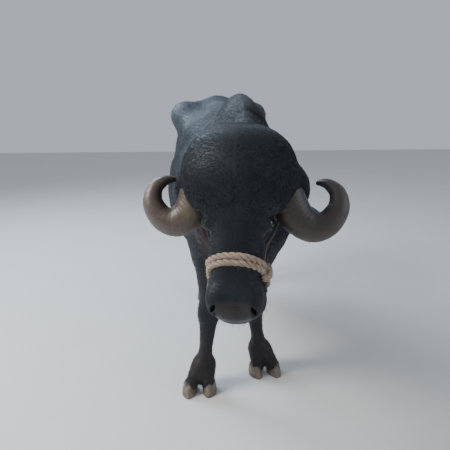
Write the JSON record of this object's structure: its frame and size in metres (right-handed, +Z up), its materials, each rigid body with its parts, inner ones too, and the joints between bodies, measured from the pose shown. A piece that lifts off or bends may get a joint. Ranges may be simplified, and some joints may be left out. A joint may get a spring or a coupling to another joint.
{
  "type": "water buffalo, life-size still model",
  "caption": "Life-size standing water buffalo cow with a domed forehead, drooping curled horns and a rope halter, head held low.",
  "frame": {"origin": "bottom centre of the bounding box, on the floor under the soles", "axes": "+Z up, -Y towards the animal's head, +X to the animal's own left side"},
  "size_m": [0.6986, 2.2866, 1.4463],
  "materials": {
    "skin": "slate-black hide with short sparse hair",
    "horn": "dark brown keratin with growth rings",
    "claw": "grey-beige horn of the hooves",
    "eye": "wet dark brown eye",
    "rope": "pale twisted plant-fibre rope",
    "hair": "coarse dark hair"
  },
  "bodies": {
    "root": {"head": "skin", "neck": "skin", "torso": "skin", "udder": "skin", "tail": "skin", "tail_switch": "hair", "leg_fore_left": "skin", "leg_fore_right": "skin", "leg_hind_left": "skin", "leg_hind_right": "skin", "ear_left": "skin", "ear_right": "skin", "horn_left": "horn", "horn_right": "horn", "eye_left": "eye", "eye_right": "eye", "noseband": "rope", "headstall": "rope", "claw_fore_left_inner": "claw", "claw_fore_left_outer": "claw", "claw_fore_right_inner": "claw", "claw_fore_right_outer": "claw", "claw_hind_left_inner": "claw", "claw_hind_left_outer": "claw", "claw_hind_right_inner": "claw", "claw_hind_right_outer": "claw", "dewclaw_fore_left_inner": "claw", "dewclaw_fore_left_outer": "claw", "dewclaw_fore_right_inner": "claw", "dewclaw_fore_right_outer": "claw", "dewclaw_hind_left_inner": "claw", "dewclaw_hind_left_outer": "claw", "dewclaw_hind_right_inner": "claw", "dewclaw_hind_right_outer": "claw"}
  },
  "joints": []
}
